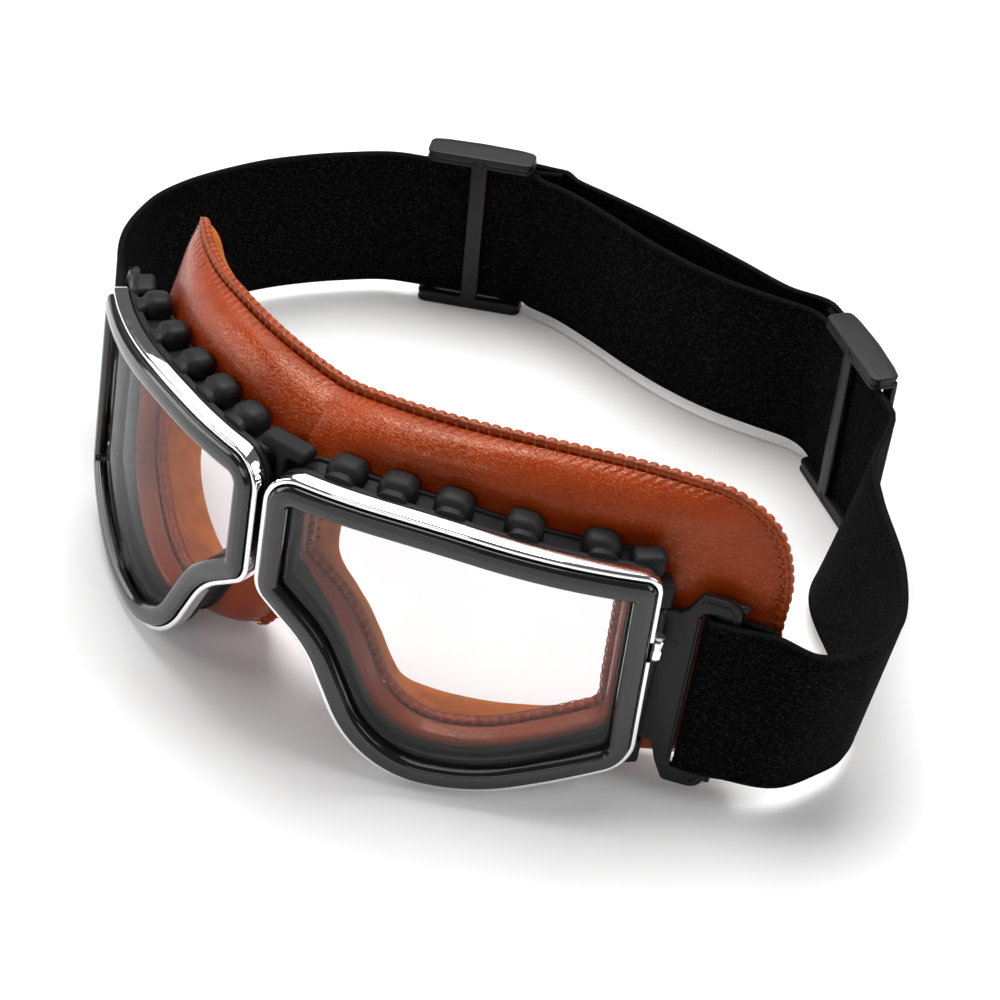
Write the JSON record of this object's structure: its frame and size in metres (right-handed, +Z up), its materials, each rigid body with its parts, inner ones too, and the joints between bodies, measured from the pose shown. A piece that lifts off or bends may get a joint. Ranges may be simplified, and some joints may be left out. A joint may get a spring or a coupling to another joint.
{
  "type": "riding goggles",
  "caption": "Riding goggles with two wrapped clear lenses in bright rims, a laced tan leather face cushion, hooded vents and an elastic strap on swinging brackets.",
  "frame": {"origin": "under the middle of the bounding box, on the surface the goggles stand on", "axes": "+Z up, -Y the way the lenses face, +X the viewer's right from the front, along the longest extent"},
  "size_m": [0.2272, 0.1766, 0.078],
  "materials": {
    "chrome": "mirror bright",
    "gloss_black": "gloss",
    "black_rubber": "matte",
    "black_plastic": "satin",
    "clear_lens": "clear, polished",
    "tan_leather": "glossy grain",
    "suede": "napped suede",
    "foam": "open-cell foam",
    "thread": "waxed thread",
    "black_elastic": "knitted elastic",
    "steel": "plated"
  },
  "bodies": {
    "goggles": {"right_chrome_rim": "chrome", "right_lens_surround": "gloss_black", "right_lens": "clear_lens", "right_eyecup": "black_rubber", "right_clasp_barrel": "chrome", "right_bracket_pin": "steel", "right_eye_lacing": "thread", "left_chrome_rim": "chrome", "left_lens_surround": "gloss_black", "left_lens": "clear_lens", "left_eyecup": "black_rubber", "left_clasp_barrel": "chrome", "left_bracket_pin": "steel", "left_eye_lacing": "thread", "nose_bridge": "black_rubber", "leather_cover": "tan_leather", "suede_lining": "suede", "pad_foam": "foam", "outer_edge_lacing": "thread", "head_strap": "black_elastic", "rear_band": "black_elastic"},
    "right_bracket": {"right_strap_bracket": "black_plastic", "right_strap_end": "black_elastic"},
    "left_bracket": {"left_strap_bracket": "black_plastic", "left_strap_end": "black_elastic"},
    "right_slider": {"right_slider": "black_plastic", "right_band_end": "black_elastic"},
    "left_slider": {"left_slider": "black_plastic", "left_band_end": "black_elastic"},
    "right_screw": {"right_clasp_screw": "steel"},
    "left_screw": {"left_clasp_screw": "steel"}
  },
  "joints": [
    {"name": "right_bracket_hinge", "type": "hinge", "parent": "goggles", "child": "right_bracket", "pos_m": [0.07255, -0.04669, 0], "axis": [0, 0.1093, 0.994], "range_deg": [-45, 5]},
    {"name": "left_bracket_hinge", "type": "hinge", "parent": "goggles", "child": "left_bracket", "pos_m": [-0.07559, -0.04669, 0], "axis": [0, 0.1093, 0.994], "range_deg": [-33, 60]},
    {"name": "right_slider_slide", "type": "slide", "parent": "goggles", "child": "right_slider", "axis": [0.829, -0.5592, 0], "range_m": [0, 0.005]},
    {"name": "left_slider_slide", "type": "slide", "parent": "goggles", "child": "left_slider", "axis": [-0.891, -0.454, 0], "range_m": [0, 0.005]},
    {"name": "right_screw_turn", "type": "hinge", "parent": "goggles", "child": "right_screw", "pos_m": [0.07625, -0.04693, 0.04026], "axis": [0, 0.1093, 0.994], "continuous": true},
    {"name": "left_screw_turn", "type": "hinge", "parent": "goggles", "child": "left_screw", "pos_m": [-0.07929, -0.04693, 0.04026], "axis": [0, 0.1093, 0.994], "continuous": true}
  ]
}
